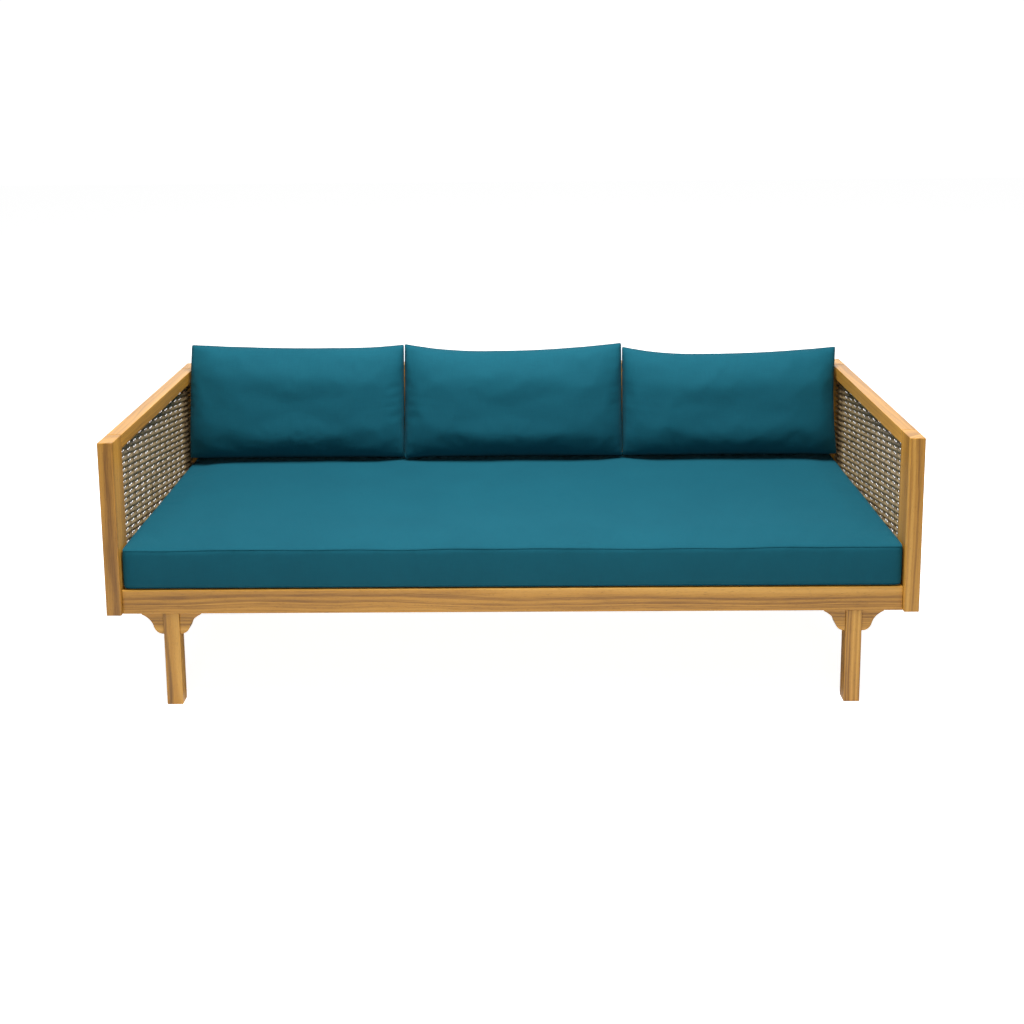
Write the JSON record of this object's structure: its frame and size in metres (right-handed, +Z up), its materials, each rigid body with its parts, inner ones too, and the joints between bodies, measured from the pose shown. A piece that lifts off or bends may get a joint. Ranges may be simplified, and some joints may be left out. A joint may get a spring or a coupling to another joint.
{
  "type": "daybed",
  "caption": "Long wooden daybed with woven side and back panels, bracketed square legs, a slatted deck, a box seat cushion and loose back cushions.",
  "frame": {"origin": "on the floor under the middle of the overall box", "axes": "+X towards the right-hand end for someone facing the daybed, +Y towards the back, +Z up"},
  "size_m": [2, 0.82, 0.7504],
  "materials": {
    "oiled_hardwood": "satin oil",
    "deck_hardwood": "plain sawn, lightly oiled",
    "woven_strand": "ridged round strand",
    "teal_fabric": "plain weave",
    "bolt_steel": "plain"
  },
  "bodies": {
    "frame": {"arm_left_back_post": "oiled_hardwood", "arm_left_bottom_rail": "oiled_hardwood", "arm_left_front_post": "oiled_hardwood", "arm_left_top_rail": "oiled_hardwood", "arm_left_weave": "woven_strand", "arm_right_back_post": "oiled_hardwood", "arm_right_bottom_rail": "oiled_hardwood", "arm_right_front_post": "oiled_hardwood", "arm_right_top_rail": "oiled_hardwood", "arm_right_weave": "woven_strand", "back_stile_1": "oiled_hardwood", "back_stile_2": "oiled_hardwood", "back_top_rail": "oiled_hardwood", "rear_seat_rail": "oiled_hardwood", "front_seat_rail": "oiled_hardwood", "back_weave_1": "woven_strand", "back_weave_2": "woven_strand", "back_weave_3": "woven_strand", "front_ledger": "deck_hardwood", "rear_ledger": "deck_hardwood", "middle_beam": "deck_hardwood", "slat_01": "deck_hardwood", "slat_02": "deck_hardwood", "slat_03": "deck_hardwood", "slat_04": "deck_hardwood", "slat_05": "deck_hardwood", "slat_06": "deck_hardwood", "slat_07": "deck_hardwood", "slat_08": "deck_hardwood", "slat_09": "deck_hardwood", "slat_10": "deck_hardwood", "slat_11": "deck_hardwood", "slat_12": "deck_hardwood", "leg_front_left": "oiled_hardwood", "bracket_front_left_a": "oiled_hardwood", "bracket_front_left_b": "oiled_hardwood", "leg_front_right": "oiled_hardwood", "bracket_front_right_a": "oiled_hardwood", "bracket_front_right_b": "oiled_hardwood", "leg_back_left": "oiled_hardwood", "bracket_back_left_a": "oiled_hardwood", "bracket_back_left_b": "oiled_hardwood", "leg_back_right": "oiled_hardwood", "bracket_back_right_a": "oiled_hardwood", "bracket_back_right_b": "oiled_hardwood", "bolt_front_seat_left": "bolt_steel", "bolt_front_seat_right": "bolt_steel", "bolt_rear_seat_left": "bolt_steel", "bolt_rear_seat_right": "bolt_steel", "bolt_back_top_left": "bolt_steel", "bolt_back_top_right": "bolt_steel"},
    "seat_cushion": {"seat_cushion": "teal_fabric"},
    "back_cushion_1": {"back_cushion_1": "teal_fabric"},
    "back_cushion_2": {"back_cushion_2": "teal_fabric"},
    "back_cushion_3": {"back_cushion_3": "teal_fabric"}
  },
  "joints": [
    {"name": "seat_cushion_lift", "type": "slide", "parent": "frame", "child": "seat_cushion", "axis": [0, 0, 1], "range_m": [0, 0.42]},
    {"name": "back_cushion_1_lift", "type": "slide", "parent": "seat_cushion", "child": "back_cushion_1", "axis": [0, 0, 1], "range_m": [0, 0.3]},
    {"name": "back_cushion_2_lift", "type": "slide", "parent": "seat_cushion", "child": "back_cushion_2", "axis": [0, 0, 1], "range_m": [0, 0.3]},
    {"name": "back_cushion_3_lift", "type": "slide", "parent": "seat_cushion", "child": "back_cushion_3", "axis": [0, 0, 1], "range_m": [0, 0.3]}
  ]
}
